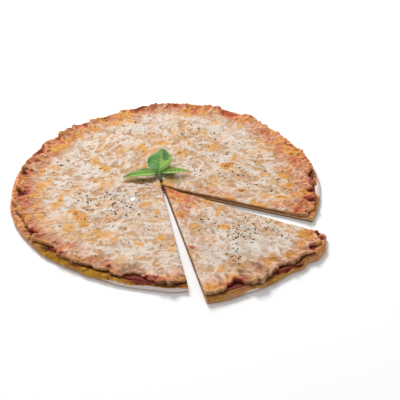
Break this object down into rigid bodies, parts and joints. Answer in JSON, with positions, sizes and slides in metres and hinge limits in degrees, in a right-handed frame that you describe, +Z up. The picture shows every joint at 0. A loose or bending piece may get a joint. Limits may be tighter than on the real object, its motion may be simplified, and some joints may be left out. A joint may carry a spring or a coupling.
{
  "type": "margherita pizza",
  "caption": "Thin round margherita pizza with a low baked rim, melted cheese over tomato sauce, a slice cut free and a sprig of basil.",
  "frame": {"origin": "centre of the pizza's round outline, on its flat underside", "axes": "+Z up out of the toppings; -Y towards the front, where the free slice lies; +X to the right"},
  "size_m": [0.2995, 0.3243, 0.0183],
  "materials": {
    "dough": "baked dough, dry and floury",
    "sauce": "moist baked tomato sauce",
    "cheese": "melted cheese, oily and browned in patches",
    "basil_leaf": "fresh leaf, slightly waxy",
    "basil_stem": "fresh green stem"
  },
  "bodies": {
    "root": {"pizza_crust": "dough", "pizza_sauce": "sauce", "pizza_cheese": "cheese", "slice_crust": "dough", "slice_sauce": "sauce", "slice_cheese": "cheese", "basil_leaf_back": "basil_leaf", "basil_leaf_left": "basil_leaf", "basil_leaf_right": "basil_leaf", "basil_stem": "basil_stem"}
  },
  "joints": []
}
